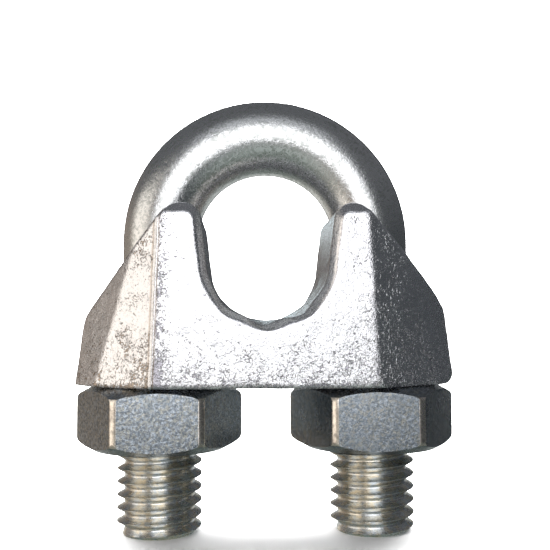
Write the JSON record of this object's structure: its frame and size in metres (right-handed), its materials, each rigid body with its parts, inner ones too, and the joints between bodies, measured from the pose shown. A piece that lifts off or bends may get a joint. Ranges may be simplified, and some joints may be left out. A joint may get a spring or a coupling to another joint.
{
  "type": "wire rope clip",
  "caption": "U-bolt wire rope clip: a threaded U-bolt, a cast saddle with a grooved rope seat and two hex nuts that clamp two parts of rope together.",
  "frame": {"origin": "axis of the live rope in the saddle's seat, midway through the saddle", "axes": "+Y along the rope, +Z from the saddle to the crown of the U-bolt, +X to the right-hand leg as seen looking along +Y"},
  "size_m": [0.0444, 0.0186, 0.0511],
  "materials": {
    "cast": "hot-dip galvanised malleable iron, as cast",
    "rod": "zinc-plated steel, smooth",
    "nut": "zinc-plated steel, slightly dull"
  },
  "bodies": {
    "saddle": {"saddle": "cast"},
    "u_bolt": {"u_bolt": "rod"},
    "nut_left": {"nut_left": "nut"},
    "nut_right": {"nut_right": "nut"}
  },
  "joints": [
    {"name": "u_bolt_slide", "type": "slide", "parent": "saddle", "child": "u_bolt", "axis": [0, 0, 1], "range_m": [-0.00075, 0.009]},
    {"name": "nut_left_turn", "type": "hinge", "parent": "saddle", "child": "nut_left", "pos_m": [-0.01255, 0, -0.018], "axis": [0, 0, 1], "range_deg": [-2160, 180]},
    {"name": "nut_right_turn", "type": "hinge", "parent": "saddle", "child": "nut_right", "pos_m": [0.01255, 0, -0.018], "axis": [0, 0, 1], "range_deg": [-2160, 180]}
  ],
  "couplings": [
    {"joint": "nut_left_turn", "follows": "u_bolt_slide", "rad_per_m": -4188.8},
    {"joint": "nut_right_turn", "follows": "u_bolt_slide", "rad_per_m": -4188.8}
  ]
}
